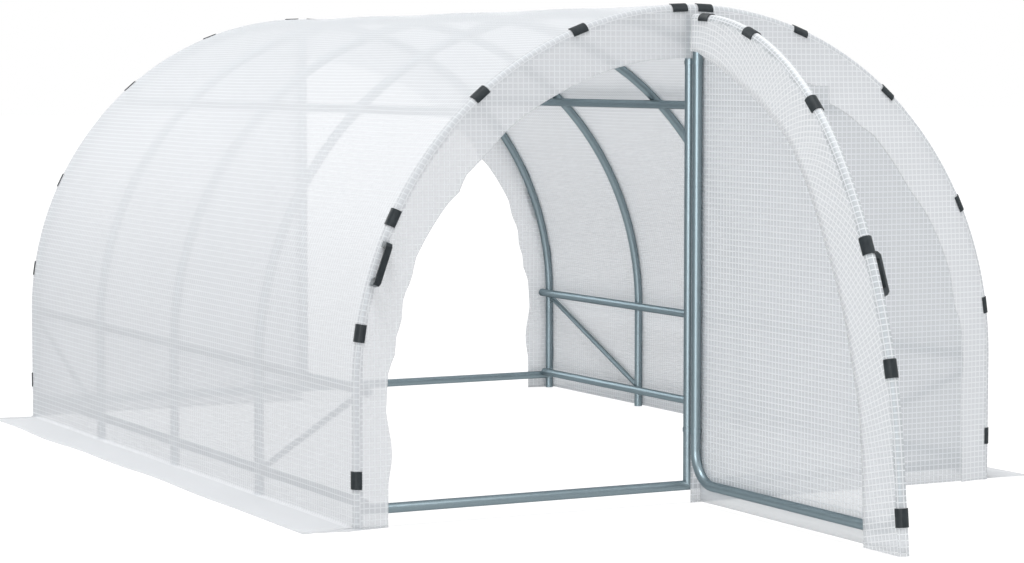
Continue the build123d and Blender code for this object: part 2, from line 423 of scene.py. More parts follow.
@dataclass(frozen=True)
class Finish:
    """What every finish has: a name, a record slot and a way to make its material."""

    name: str
    slot: Slot

    def start(self) -> tuple[bpy.types.Material, Sketch, bpy.types.Node]:
        """Starts the material.

        Returns:
            The material, a sketch of its tree and its Principled node.
        """
        material = bpy.data.materials.new(self.name)
        material.use_nodes = True
        return material, Sketch(material.node_tree), material.node_tree.nodes["Principled BSDF"]


@dataclass(frozen=True)
class FilmFinish(Finish):
    """Pale see-through film with a net of white threads in it.

    Attributes:
        cell: Colour of the film between the threads.
        thread: Colour of the threads.
        lapped_and_highlight: Colour of lapped film, and of the painted highlight over a tube.
        cell_cover: Opacity between the threads.
        thread_cover: Opacity of the threads.
        passing: Share of the light that goes through, past that opacity.
        pitch: Distance from thread to thread, in metres.
        thread_width: Width of a thread, in metres.
        highlight_strength: How far the painted highlight goes to the lapped_and_highlight colour.
        behind: How strongly the net of a lapped layer shows.
        lapped_cell: How far the cells of lapped film go to the lapped_and_highlight colour.
        shade_depth: How much darker the painted shade makes the film.
        roughness: Roughness between the threads, and what a thread adds to it.
        specular: The film's specular level.
        relief: Strength and depth of the bump, in metres.
    """

    cell: Colour = linear(209, 213, 217)
    thread: Colour = linear(226, 229, 232)
    lapped_and_highlight: Colour = linear(243, 245, 247)
    cell_cover: float = 0.7
    thread_cover: float = 0.97
    passing: float = 0.92
    pitch: float = 0.023
    thread_width: float = 0.0042
    highlight_strength: float = 0.85
    behind: float = 0.7
    lapped_cell: float = 0.2
    shade_depth: float = 0.1
    roughness: Flat = (0.5, 0.1)
    specular: float = 0.04
    relief: Flat = (0.12, 0.0008)

    def coat(self, effects: Effects) -> Coat:
        """Makes the film's material.

        Args:
            effects: The shared shader groups.

        Returns:
            The material with its slot.
        """
        material, sketch, shader = self.start()
        pressed, soiled, lapped, plain = map(sketch.attribute, ("pressed", "soiled", "lapped", "plain"))
        place = sketch.node("ShaderNodeUVMap", uv_map="film").outputs[0]
        mottle = sketch.group(effects.mottle, place=place, patches=1.6, grain=9.0, amount=0.03)
        sizes = {"pitch": self.pitch, "thread": self.thread_width}
        net = sketch.group(effects.threads, place=place, **sizes).outputs["Mask"]
        below = sketch.attribute("under", "Vector")
        under = sketch.group(effects.threads, place=below, **sizes).outputs["Mask"]
        behind = sketch.math("MULTIPLY", under, sketch.math("MULTIPLY", lapped, self.behind))
        both = sketch.math("MAXIMUM", net, behind)
        mask = sketch.math("MULTIPLY", both, sketch.math("SUBTRACT", 1.0, plain))

        lapped_and_highlight = (*self.lapped_and_highlight, 1)
        cell = sketch.blend(sketch.math("MULTIPLY", lapped, self.lapped_cell), (*self.cell, 1), lapped_and_highlight)
        weave = sketch.blend(mask, cell, sketch.blend(lapped, (*self.thread, 1), lapped_and_highlight))
        shade = sketch.node("ShaderNodeVectorMath", operation="SCALE")
        # Painted highlight: marked film over a tube is pulled towards the pale colour.
        sketch.feed(shade.inputs[0], sketch.blend(sketch.math("MULTIPLY", pressed, self.highlight_strength), weave, lapped_and_highlight))
        # Painted shade: marked film is drawn darker, on top of the random mottle.
        mottle_and_shade = sketch.math("MULTIPLY_ADD", soiled, -self.shade_depth, mottle.outputs["Factor"])
        sketch.feed(shade.inputs["Scale"], mottle_and_shade)
        sketch.feed(shader.inputs["Base Color"], shade.outputs[0])

        dense = sketch.math("MAXIMUM", mask, sketch.math("MAXIMUM", pressed, lapped))
        cover = sketch.math("MULTIPLY_ADD", dense, self.thread_cover - self.cell_cover, self.cell_cover)
        facing = sketch.math("SUBTRACT", 1.0, sketch.node("ShaderNodeNewGeometry").outputs["Backfacing"])
        path = sketch.node("ShaderNodeLightPath").outputs
        lighting = sketch.math("MAXIMUM", path["Is Shadow Ray"], path["Is Diffuse Ray"])
        stopped = sketch.math("MULTIPLY", cover, sketch.math("MULTIPLY_ADD", lighting, -self.passing, 1.0))
        sketch.feed(shader.inputs["Alpha"], sketch.math("MULTIPLY", stopped, facing))

        smooth, added = self.roughness
        sketch.feed(shader.inputs["Roughness"], sketch.math("MULTIPLY_ADD", mask, added, smooth))
        shader.inputs["Specular IOR Level"].default_value = self.specular
        sketch.bump(shader, sketch.math("MULTIPLY_ADD", mottle.outputs["Height"], 0.1, mask), *self.relief)
        return Coat(material, self.slot)


@dataclass(frozen=True)
class SteelFinish(Finish):
    """Galvanised steel tube with a faint spangle.

    flakes is their number in a metre, and flake_tone what a flake's own value is multiplied by and what is
    added, as a share of the bright colour. relief is the bump's strength and its depth in metres.
    """

    bright: Colour = linear(140, 155, 161)
    dull: Colour = linear(108, 122, 128)
    rim: Colour = (0.3, 0.33, 0.36)
    roughness: float = 0.36
    metallic: float = 0.8
    flakes: float = 140.0
    flake_tone: Flat = (0.16, 0.4)
    relief: Flat = (0.08, 0.0005)

    def coat(self, effects: Effects) -> Coat:
        """Makes the steel's material.

        Args:
            effects: The shared shader groups.

        Returns:
            The material with its slot.
        """
        material, sketch, shader = self.start()
        place = sketch.node("ShaderNodeTexCoord").outputs["Object"]
        mottle = sketch.group(effects.mottle, place=place, patches=5.0, grain=420.0, amount=0.4)
        spangle = sketch.node("ShaderNodeTexVoronoi")
        sketch.feed(spangle.inputs["Vector"], place)
        spangle.inputs["Scale"].default_value = self.flakes
        flake = sketch.math("MULTIPLY_ADD", spangle.outputs["Color"], *self.flake_tone)
        tone = sketch.math("MULTIPLY", flake, mottle.outputs["Factor"])
        sketch.feed(shader.inputs["Base Color"], sketch.blend(tone, (*self.dull, 1), (*self.bright, 1)))
        sketch.feed(shader.inputs["Roughness"], sketch.math("MULTIPLY_ADD", tone, 0.1, self.roughness))
        shader.inputs["Metallic"].default_value = self.metallic
        shader.inputs["Specular Tint"].default_value = (*self.rim, 1)
        sketch.bump(shader, mottle.outputs["Height"], *self.relief)
        return Coat(material, self.slot)


@dataclass(frozen=True)
class PlasticFinish(Finish):
    """Charcoal moulded plastic with a fine grain, greyer where it is worn, and lighter grey on a handle's legs
    as a painted highlight.

    wear_level is the mottling above which it looks worn. relief is the bump's strength and its depth in metres.
    """

    colour: Colour = linear(32, 39, 43)
    worn: Colour = linear(58, 65, 69)
    highlight_grey: Colour = linear(108, 114, 118)
    wear_level: float = 0.85
    roughness: float = 0.5
    specular: float = 0.2
    relief: Flat = (0.2, 0.0004)

    def coat(self, effects: Effects) -> Coat:
        """Makes the plastic's material.

        Args:
            effects: The shared shader groups.

        Returns:
            The material with its slot.
        """
        material, sketch, shader = self.start()
        place = sketch.node("ShaderNodeTexCoord").outputs["Object"]
        mottle = sketch.group(effects.mottle, place=place, patches=40.0, grain=900.0, amount=1.2)
        share = sketch.math("SUBTRACT", mottle.outputs["Factor"], self.wear_level)
        moulded = sketch.blend(share, (*self.colour, 1), (*self.worn, 1))
        # Painted highlight: a handle's legs are drawn lighter grey, standing for light on their faces.
        colour = sketch.blend(sketch.attribute("worn"), moulded, (*self.highlight_grey, 1))
        sketch.feed(shader.inputs["Base Color"], colour)
        height = mottle.outputs["Height"]
        sketch.feed(shader.inputs["Roughness"], sketch.math("MULTIPLY_ADD", height, 0.2, self.roughness))
        shader.inputs["Specular IOR Level"].default_value = self.specular
        sketch.bump(shader, height, *self.relief)
        return Coat(material, self.slot)


# Meshes


class Spot(NamedTuple):
    """A point of a sheet.

    Attributes:
        point: Where it is.
        place: Its place on the flat film in metres.
        pressed: How far the film is drawn paler over a tube, as a painted highlight.
        soiled: How much darker the film is drawn, as painted shade.
        lapped: How much a second layer behind shows.
        plain: 1 where the film has no net.
        under: The place on the layer behind, where that isn't this place.
    """

    point: Point
    place: Flat
    pressed: float = 0.0
    soiled: float = 0.0
    lapped: float = 0.0
    plain: float = 0.0
    under: Flat | None = None


@dataclass
class SheetMesh:
    """Collects the quads of a sheet, with its place on the flat film as UV."""

    spots: list[Spot] = field(default_factory=list)
    faces: list[tuple[int, ...]] = field(default_factory=list)

    def grid(self, rows: Sequence[Sequence[Spot]]) -> None:
        """Adds a grid of quads.

        Args:
            rows: Rows of spots, all of one length.
        """
        start = len(self.spots)
        width = len(rows[0])
        for row in rows:
            self.spots.extend(row)
        for i in range(len(rows) - 1):
            for j in range(width - 1):
                corner = start + i * width + j
                self.faces.append((corner, corner + 1, corner + width + 1, corner + width))

    def build(self, name: str, outwards: Callable[[Vector], Vector], weld: float = 2e-5) -> bpy.types.Object:
        """Makes the object, with every face looking the way that outwards says at its middle.

        Args:
            name: The piece's name.
            outwards: Gives the outward direction at a point.
            weld: Distance within which points become one.

        Returns:
            The object, linked to the scene.
        """
        mesh = bpy.data.meshes.new(name)
        mesh.from_pydata([spot.point for spot in self.spots], [], self.faces)
        layer = mesh.uv_layers.new(name="film")
        for loop in mesh.loops:
            layer.data[loop.index].uv = self.spots[loop.vertex_index].place
        for label in ("pressed", "soiled", "lapped", "plain"):
            values = mesh.attributes.new(label, "FLOAT", "POINT").data
            values.foreach_set("value", [getattr(spot, label) for spot in self.spots])
        under = mesh.attributes.new("under", "FLOAT_VECTOR", "POINT").data
        for item, spot in zip(under, self.spots):
            item.vector = (*(spot.under or spot.place), 0.0)
        work = bmesh.new()
        work.from_mesh(mesh)
        bmesh.ops.remove_doubles(work, verts=work.verts, dist=weld)
        bmesh.ops.dissolve_degenerate(work, edges=work.edges, dist=weld / 2)
        turn = []
        for face in work.faces:
            face.normal_update()
            if face.normal.dot(outwards(face.calc_center_median())) < 0:
                turn.append(face)
            face.smooth = True
        bmesh.ops.reverse_faces(work, faces=turn)
        work.to_mesh(mesh)
        work.free()
        return linked(bpy.data.objects.new(name, mesh))


def linked(made: bpy.types.Object) -> bpy.types.Object:
    """Puts an object in the scene and gives it back."""
    bpy.context.scene.collection.objects.link(made)
    return made


def give_thickness(piece: bpy.types.Object, thickness: float) -> None:
    """Gives a sheet its thickness, half to each side.

    Args:
        piece: The sheet.
        thickness: Its thickness in metres.
    """
    solid = piece.modifiers.new("thickness", "SOLIDIFY")
    solid.thickness = thickness
    solid.offset = 0.0
    solid.use_quality_normals = True


def dress(piece: bpy.types.Object, coat: Coat, body: Body) -> None:
    """Gives a piece its material, and makes it ride on a body.

    Args:
        piece: The piece.
        coat: Its material and slot.
        body: The body that it rides on.
    """
    piece.data.materials.clear()
    piece.data.materials.append(coat.material)
    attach(piece, body.value)


def as_plain_mesh(piece: bpy.types.Object) -> None:
    """Turns a piece with modifiers into a plain mesh, and removes the modifiers.

    Args:
        piece: The piece.
    """
    graph = bpy.context.evaluated_depsgraph_get()
    mesh = bpy.data.meshes.new_from_object(piece.evaluated_get(graph))
    piece.modifiers.clear()
    old = piece.data
    piece.data = mesh
    mesh.name = piece.name
    bpy.data.meshes.remove(old)


def prism(
    rings: Sequence[Sequence[Point]], caps: Sequence[Sequence[int]], corner: float, round_off: float
) -> bmesh.types.BMesh:
    """Makes a bar between two outlines, with its sharp edges rounded.

    Args:
        rings: The outline at each end of the bar.
        caps: The faces that close an end, as places in its outline.
        corner: Angle in radians above which an edge is rounded.
        round_off: How far from the edge the rounding begins, in metres.

    Returns:
        The bar, still to be written to a mesh.
    """
    work = bmesh.new()
    near, far = ([work.verts.new(point) for point in ring] for ring in rings)
    for i in range(len(near)):
        j = (i + 1) % len(near)
        work.faces.new((near[i], near[j], far[j], far[i]))
    for ring in (near, far):
        for cap in caps:
            work.faces.new([ring[i] for i in cap])
    bmesh.ops.recalc_face_normals(work, faces=work.faces)
    edges = [edge for edge in work.edges if edge.calc_face_angle(0) > corner]
    bmesh.ops.bevel(work, geom=edges, offset=round_off, segments=2, affect="EDGES", profile=0.6)
    return work


def made_of(work: bmesh.types.BMesh, name: str) -> bpy.types.Object:
    """Writes a mesh in work to a new object, which isn't in the scene yet.

    Args:
        work: The mesh in work, which is freed.
        name: The object's name.

    Returns:
        The object.
    """
    mesh = bpy.data.meshes.new(name)
    work.to_mesh(mesh)
    work.free()
    return bpy.data.objects.new(name, mesh)


def standing(along: Vector, across: Vector, away: Vector, centre: Vector) -> Matrix:
    """Gives the matrix that sets a shape's X, Y and Z along three directions at a place."""
    return Matrix.Translation(centre) @ Matrix((along, across, away)).transposed().to_4x4()


# Cover over the hoops


class Station(NamedTuple):
    """A place across the cover: a signed angle from the crown in degrees, and a height up the leg."""

    angle: float
    height: float

    def run(self) -> float:
        """Length of film from the crown, with the angle's sign."""
        length = math.radians(abs(self.angle)) * TUNNEL.half_width + TUNNEL.spring_height - self.height
        return math.copysign(length, self.angle)

    def point(self, radius: float) -> Flat:
        """Gives a point across the tunnel.

        Args:
            radius: Distance out from the arch's centre, or from the middle on a leg.

        Returns:
            X and Z.
        """
        if abs(self.angle) >= 90:
            return math.copysign(radius, self.angle), self.height
        outwards, upwards = heading(self.angle)
        return radius * outwards, TUNNEL.spring_height + radius * upwards


@dataclass
class EdgeLine:
    """The free edge of the film that is folded over an end hoop.

    Attributes:
        arch: Angle from the crown in degrees, and radius from the arch's centre, in metres.
        leg: Height and distance from the tunnel's middle, in metres, from the spring line down.
    """

    arch: tuple[Flat, ...]
    leg: tuple[Flat, ...]

    def radius(self, at: Station) -> float:
        """Distance of the free edge from the arch's centre, or from the middle on a leg."""
        given, table = (abs(at.angle), self.arch) if abs(at.angle) < 90 else (at.height, sorted(self.leg))
        return float(np.interp(given, *zip(*table)))


DOORWAY_EDGE = EdgeLine(
    arch=(
        (0, 1.281), (15, 1.291), (28, 1.295), (33, 1.300), (41, 1.306), (45.2, 1.298), (51.5, 1.314),
        (53.8, 1.297), (57.2, 1.3146), (67.5, 1.339), (71.3, 1.328), (74.4, 1.341), (78.4, 1.327),
        (81.1, 1.339), (83.8, 1.334), (86.7, 1.357), (90, 1.362),
    ),
    leg=((0.53, 1.362), (0.448, 1.367), (0.311, 1.342), (0.249, 1.345), (0.177, 1.358), (0.0, 1.359)),
)
CLOSED_EDGE = EdgeLine(
    arch=(
        (0, 1.281), (15, 1.292), (26.2, 1.302), (29.0, 1.334), (30.6, 1.272), (33.3, 1.279), (35.7, 1.282),
        (39.2, 1.283), (41.8, 1.294), (54.9, 1.278), (61.6, 1.300), (73.0, 1.3165), (80.0, 1.307),
        (82.9, 1.329), (90, 1.334),
    ),
    leg=((0.53, 1.335), (0.367, 1.328), (0.06, 1.336), (0.0, 1.336)),
)

SKIRT_CORNER = (((-1.5, -1.985), (-1.66, -2.03)), ((-1.36, -2.034), (-1.54, -2.06)))


@dataclass
class TunnelCover:
    """The one long sheet of film over the hoops, folded over both end hoops and laid out on the ground.

    Lengths are in metres. The flap of a closed half hangs loose and shows a second layer behind it, and its
    free edge is drawn darker as a painted shadow line. uneven, what the free edges would lack of the flap's
    depth on the whole, is not used, and flap_shares are 1 at the free edge and 0 at the fold.
    """

    skirt: float = 0.215
    ground_bend: float = 0.016
    thickness: float = 0.0012
    sag: float = 0.004
    loose_flap: float = 0.02
    doubled: float = 0.35
    edge_shadow: float = 1.6
    arch_step: float = 1.5
    leg_rows: int = 14
    columns: int = 41
    skirt_columns: int = 7
    flap_shares: tuple[float, ...] = (1.0, 0.97, 0.86, 0.68, 0.5, 0.33, 0.16, 0.0)
    flap_foot: float = 0.0015
    flap_depth: float = 0.19
    uneven: float = 0.03
    ground_gap: float = 0.0002
    skirt_stretch: float = 0.0123
    skirt_ripple: float = 0.0015
    corner_height: float = 0.0032
    corner_shade: float = 1.3
    doorway: EdgeLine = field(default_factory=lambda: DOORWAY_EDGE)
    closed: EdgeLine = field(default_factory=lambda: CLOSED_EDGE)

    def stations(self) -> list[Station]:
        """Places across the tunnel.

        Returns:
            Stations from the left ground line to the right one.
        """
        angles = set(np.arange(0, 90 + 1e-6, self.arch_step).tolist()) | {26.2, 29.0, 30.6}
        arch = sorted(round(a, 3) for a in angles)
        leg = np.linspace(TUNNEL.spring_height, self.ground_bend, self.leg_rows)[1:].tolist()
        right = [Station(a, TUNNEL.spring_height) for a in arch] + [Station(90.0, z) for z in leg]
        left = [Station(-a, z) for a, z in reversed(right[1:])]
        return left + right

    def flutter(self, station: Station, share: float, end: End) -> float:
        """How far the hanging flap stands off its plane, which is more where no leaf swings past it.

        Args:
            station: The place across the tunnel.
            share: 0 at the fold and 1 at the free edge.
            end: The end that it is at.

        Returns:
            The distance in metres.
        """
        run = station.run() * end.value
        wave = math.sin(run * 9.0) * 0.5 + math.sin(run * 21.0 + 1.3) * 0.3 + math.sin(run * 4.1 + 0.4) * 0.4
        low = min(abs(run) / 2.0, 1.0) ** 2
        loose = self.loose_flap * max(0.0, min((run - 0.45) / 0.5, 1.0))
        return share**1.5 * (0.0006 + 0.0035 * low * (1.0 + wave) / 2 + loose)

    def flap(self, station: Station, end: End) -> list[Spot]:
        """Spots of the flat strip, with the net square to the end's own plane.

        Args:
            station: The place across the tunnel.
            end: The end that it is at.

        Returns:
            Spots from the free edge out to the fold.
        """
        line = self.doorway if station.angle * end.value < 0 else self.closed
        drop = TUNNEL.fold_centre - line.radius(station)
        closed = max(0.0, min(station.run() * end.value, 1.0))
        made = []
        for share in self.flap_shares:
            x, z = station.point(TUNNEL.fold_centre - drop * share)
            y = TUNNEL.flap_plane + self.flutter(station, share, end)
            # Painted shadow: the free edge of a closed flap is drawn darker, as a thin shadow line.
            edge_shade = self.edge_shadow * closed if share == 1.0 else 0.0
            place = (x * end.value, z)
            made.append(Spot((x, -end.value * y, z), place, soiled=edge_shade, lapped=self.doubled * closed))
        return made

    def fold(self, station: Station, end: End) -> list[Spot]:
        """Spots from the flat strip over the hoop, to its top.

        Args:
            station: The place across the tunnel.
            end: The end that it is at.

        Returns:
            Spots in order.
        """
        run = station.run()
        made = []
        for turn in range(90, -1, -18):
            angle = math.radians(turn)
            x, z = station.point(TUNNEL.fold_centre + TUNNEL.fold_radius * math.cos(angle))
            y = TUNNEL.half_length + TUNNEL.fold_radius * math.sin(angle)
            place = TUNNEL.half_length + TUNNEL.fold_radius * angle
            made.append(Spot((x, -end.value * y, z), (run, -end.value * place)))
        return made

    def middle(self, station: Station) -> list[Spot]:
        """Spots along the tunnel at a station, from the front hoop to the back one.

        Args:
            station: The place across the tunnel.

        Returns:
            Spots in order.
        """
        radius = TUNNEL.fold_centre + TUNNEL.fold_radius
        made = []
        for y in np.linspace(-TUNNEL.half_length, TUNNEL.half_length, self.columns):
            bay = abs(math.sin(math.pi * y / TUNNEL.hoop_spacing))
            x, z = station.point(radius - self.sag * bay**1.5)
            made.append(Spot((x, float(y), z), (station.run(), float(y))))
        return made

    def skirt_rows(self, side: int) -> list[list[Spot]]:
        """Rows of the film that bends at the ground and lies out flat.

        Args:
            side: 1 for the right side and -1 for the left.

        Returns:
            Rows from the leg outwards.
        """
        station = Station(90.0 * side, self.ground_bend)
        foot, base = self.middle(station), station.run()
        lift = self.thickness / 2 + self.ground_gap
        rise = self.ground_bend - lift
        made = [foot]
        # Painted shade: the skirt is drawn darker, growing across its bend at the ground.
        for turn in (22.5, 45, 67.5, 90):
            angle, flat = math.radians(turn), turn / 90
            out, up = rise * (1 - math.cos(angle)), self.ground_bend - rise * math.sin(angle)
            made.append([
                Spot((x + side * out, y, up), (base + side * rise * angle, d), soiled=flat, plain=flat)
                for (x, y, _), (_, d), *_ in foot
            ])
        for share in np.linspace(0, 1, self.skirt_columns)[1:].tolist():
            row = []
            for (x, y, _), (_, d), *_ in foot:
                width = self.skirt - rise + 0.006 * math.sin(y * 2.3 + side) + 0.003 * math.sin(y * 7.0)
                stretch = 1 + self.skirt_stretch * share
                ripple = self.skirt_ripple * (1 + math.sin(y * 6.0 + 2 * side)) * share
                point = (x + side * (rise + width * share), y * stretch, lift + ripple)
                place = (base + side * (rise * math.pi / 2 + width * share), d * stretch)
                # Painted shade: the flat skirt is drawn darker in full.
                row.append(Spot(point, place, soiled=1.0, plain=1.0))
            made.append(row)
        return made

    def gusset(self, end: End) -> list[list[Spot]]:
        """Rows of the corner of the skirt that is tucked flat under the doorway's flap.

        Args:
            end: The end that it is at.

        Returns:
            Its two rows.
        """
        made = []
        for row in SKIRT_CORNER:
            flat = ((turned((x, y, self.corner_height), end), (x * end.value, y * end.value)) for x, y in row)
            # Painted shade: the corner tucked under the doorway's flap is drawn darker than the rest of the
            # skirt.
            made.append([Spot(point, place, soiled=self.corner_shade, plain=1.0) for point, place in flat])
        return made

    @staticmethod
    def outwards(centre: Vector) -> Vector:
        """Outward direction of the cover.

        Args:
            centre: A point of it.

        Returns:
            The direction, of any length.
        """
        if centre.z < 0.004 or abs(centre.x) > TUNNEL.half_width + 0.012:
            return Vector((0.2 * centre.x, 0, 1))
        if abs(centre.y) > TUNNEL.half_length + 0.6 * TUNNEL.fold_radius:
            return Vector((0, centre.y, 0))
        return Vector((centre.x, 0, max(centre.z - TUNNEL.spring_height, 0.0)))

    def build(self, coat: Coat) -> bpy.types.Object:
        """Args:
            coat: The film's material and slot.

        Returns:
            The cover.
        """
        sheet = SheetMesh()
        sheet.grid([self.middle(station) for station in self.stations()])
        down = [Station(-90.0, self.flap_foot), *self.stations(), Station(90.0, self.flap_foot)]
        for end in End:
            for part in (self.flap, self.fold):
                sheet.grid([part(station, end) for station in down])
            sheet.grid(self.gusset(end))
        for side in (1, -1):
            sheet.grid(self.skirt_rows(side))
        piece = sheet.build("film_cover", self.outwards)
        give_thickness(piece, self.thickness)
        dress(piece, coat, Body.TUNNEL)
        nodes = [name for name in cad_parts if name.startswith("cover_") or name.endswith("_skirt")]
        nodes += [f"{end}_{half}_flap" for end in ("front", "back") for half in ("closed", "doorway")]
        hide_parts(*nodes)
        return piece


# Film of the closed half of each end


@dataclass
class EndPanel:
    """The film that closes half of an end, from the centre post to the hoop.

    Lengths are in metres, and arch_step in degrees. trimmed, the share of the area up to the hoop that the
    gap at the edge leaves, is not used.
    """

    end: End
    thickness: float = 0.0012
    belly: float = 0.006
    edge_gap: float = 0.004
    trimmed: float = 0.995
    leg_rows: int = 10
    arch_step: float = 3.0
    columns: int = 33

    def reach(self, height: float) -> float:
        """Distance from the middle to the panel's edge.

        Args:
            height: Height above the ground, in metres.

        Returns:
            The distance in metres.
        """
        radius = TUNNEL.hoop_radius - self.edge_gap
        rise = max(height - TUNNEL.spring_height, 0.0)
        return math.sqrt(max(radius * radius - rise * rise, 0.0))

    def heights(self) -> list[float]:
        """Heights of the rows.

        Returns:
            Heights from the ground to the crown, in metres.
        """
        leg = np.linspace(0.002, TUNNEL.spring_height, self.leg_rows)[:-1].tolist()
        radius = TUNNEL.hoop_radius - self.edge_gap
        angles = np.arange(0, 90.1, self.arch_step)
        return leg + [TUNNEL.spring_height + radius * math.sin(math.radians(a)) for a in angles]

    def stand_off(self, x: float, z: float) -> float:
        """How far the film bellies out at a point.

        Args:
            x: Distance from the centre post.
            z: Height above the ground.

        Returns:
            The distance in metres, from 0 at the edges.
        """
        reach = max(self.reach(z) - 0.14, 0.05)
        across = max(0.0, min((x - 0.03) / reach, 1.0))
        up = max(0.0, min(z / 1.7, 1.0))
        pull = math.sin(math.pi * across) * math.sin(math.pi * min(up + 0.06, 1.0)) ** 0.5
        crease = 0.25 * math.sin(9 * x + 3 * z) + 0.15 * math.sin(17 * x - 5 * z)
        return self.belly * pull * (0.75 + crease)

    def build(self, coat: Coat) -> bpy.types.Object:
        """Args:
            coat: The film's material and slot.

        Returns:
            The panel.
        """
        rows = []
        for z in self.heights():
            reach = self.reach(z)
            row = []
            for share in np.linspace(0, 1, self.columns):
                x = reach * float(share)
                y = -TUNNEL.panel_plane - self.stand_off(x, z)
                row.append(Spot(turned((x, y, z), self.end), (x, z)))
            rows.append(row)
        sheet = SheetMesh()
        sheet.grid(rows)
        label = self.end.label
        piece = sheet.build(f"{label}_panel_film", lambda c: Vector((0, -self.end.value, 0)))
        give_thickness(piece, self.thickness)
        dress(piece, coat, Body.TUNNEL)
        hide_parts(f"{label}_end_panel")
        return piece


# Film of the door leaves

LEAF_BAND = (
    (0.012, 0.2219), (0.1, 0.2139), (0.2, 0.2092), (0.3, 0.2055), (0.456, 0.2047), (0.608, 0.2022),
    (0.759, 0.2074), (0.906, 0.2078), (1.049, 0.2142), (1.188, 0.2186), (1.322, 0.2138), (1.45, 0.2059),
    (1.519, 0.2052), (1.6, 0.197), (1.674, 0.1971), (1.74, 0.2047), (1.799, 0.2043), (1.85, 0.2057),
    (1.891, 0.2021), (1.924, 0.1903), (1.948, 0.1742), (1.962, 0.1553), (1.967, 0.127),
)


@dataclass
class LeafCover:
    """The film of a door leaf: flat on the outer face, folded round the arched tube on to the inner face.

    Attributes:
        end: The end of the tunnel that the leaf hangs at.
        thickness: The film's thickness in metres.
        band: Height and width of the strip on the inner face, in metres, from the foot up.
        doubled: How much the second layer shows in the doubled strip, at each of the doubled_heights.
        doubled_heights: A low and a high place on the leaf, in metres.
        band_shares: Spots across the strip, from 0 at the tube to 1 at its free edge.
        gleams: Painted highlight over the tube, from the outer face to the inner one.
        shine: What that is multiplied by, at each of the shine_heights.
        shine_heights: A low and a high place on the tube, in metres.
        hem_top: Height up to which the face has no net, in metres.
        leg_rows: Rows up the straight foot.
        arch_step: Degrees from row to row above it.
        columns: Spots across the face.
    """

    end: End
    thickness: float = 0.0012
    band: tuple[Flat, ...] = LEAF_BAND
    doubled: Flat = (0.45, 0.85)
    doubled_heights: Flat = (0.3, 1.9)
    band_shares: tuple[float, ...] = (0.0, 0.04, 0.17, 0.33, 0.5, 0.67, 0.84, 1.0)
    gleams: tuple[float, ...] = (0, 0, 0, 0.15, 0.9, 0.9, 0.15, 0, 0)
    shine: Flat = (0.12, 0.85)
    shine_heights: Flat = (1.2, 1.75)
    hem_top: float = 0.085
    leg_rows: int = 9
    arch_step: float = 2.0
    columns: int = 25

    def stations(self) -> list[tuple[float, float, float]]:
        """Places along the edge, from the foot to just past the crown.

        Returns:
            Distance out, height, and angle from the crown in degrees.
        """
        knee = LEAF_EDGE.spot(LEAF_EDGE.side_end)[1]
        heights = set(np.linspace(TUNNEL.leaf_foot, knee, self.leg_rows)[:-1].tolist())
        leg = [LEAF_EDGE.foot(z) for z in sorted(heights | {self.hem_top, self.hem_top + 0.012})]
        angles = [float(a) for a in np.arange(LEAF_EDGE.side_end, -0.1, -self.arch_step)] + [-1.0]
        return [(out, up, LEAF_EDGE.side_end) for out, up in leg] + [(*LEAF_EDGE.spot(a), a) for a in angles]

    def face_rows(self) -> list[list[Spot]]:
        """Rows of the flat outer face.

        Returns:
            Rows from the hinge tube to the edge.
        """
        made = []
        for out, up, angle in self.stations():
            if angle < 0:
                continue
            row = []
            for share in np.linspace(0, 1, self.columns):
                s = out * float(share)
                hang = 0.0035 * math.sin(math.pi * float(share)) * (1 + math.sin(7 * s + 2 * up)) / 2
                row.append(Spot((s, TUNNEL.leaf_plane + hang, up), (s, up), plain=float(up <= self.hem_top)))
            made.append(row)
        return made

    def wrap_rows(self) -> list[list[Spot]]:
        """Rows over the arched tube.

        Returns:
            Rows from the outer face to the inner one.
        """
        made = []
        plane = TUNNEL.leaf_plane
        run, last = 0.0, None
        for out, up, angle in self.stations():
            if last is not None:
                run += math.dist(last, (out, up))
            last = (out, up)
            away = heading(angle)
            # Painted highlight along the crest of the tube, stronger higher up the leaf.
            shine = float(np.interp(up, self.shine_heights, self.shine))
            row = []
            for bend, gleam in zip(np.linspace(0, 180, len(self.gleams)), self.gleams):
                turn = math.radians(bend)
                lift = plane * math.sin(turn)
                point = (out + away[0] * lift, plane * math.cos(turn), up + away[1] * lift)
                row.append(Spot(point, (run, plane * turn), shine * gleam))
            made.append(row)
        return made

    def band_rows(self) -> list[list[Spot]]:
        """Rows of the doubled strip on the inner face.

        Returns:
            Rows from the tube to the strip's free edge.
        """
        made = []
        heights, widths = zip(*self.band)
        for out, up, angle in self.stations():
            away = heading(angle)
            width = float(np.interp(up, heights, widths))
            doubled = float(np.interp(up, self.doubled_heights, self.doubled))
            row = []
            for share in self.band_shares:
                s, z = out - away[0] * width * share, up - away[1] * width * share
                ruffle = 0.004 * share**2 * (1 + math.sin(11 * up + 5 * s)) / 2
                if share > 0:
                    s, z = max(s, -TUNNEL.leaf_plane), max(z, TUNNEL.leaf_foot)
                beyond = math.pi * TUNNEL.leaf_plane + width * share
                place = (out + away[0] * beyond, up + away[1] * beyond)
                row.append(Spot((s, -TUNNEL.leaf_plane - ruffle, z), place, lapped=doubled, under=(s, z)))
            made.append(row)
        return made

    def outwards(self, centre: Vector) -> Vector:
        """Outward direction of the leaf's film.

        Args:
            centre: A point of it.

        Returns:
            The direction, of any length.
        """
        face = centre.x * self.end.value
        if abs(face) > 0.6 * TUNNEL.leaf_plane:
            return Vector((centre.x, 0, 0))
        return Vector((centre.x, centre.y - self.end.value * -TUNNEL.leaf_hinge, centre.z - LEAF_EDGE.top[1]))

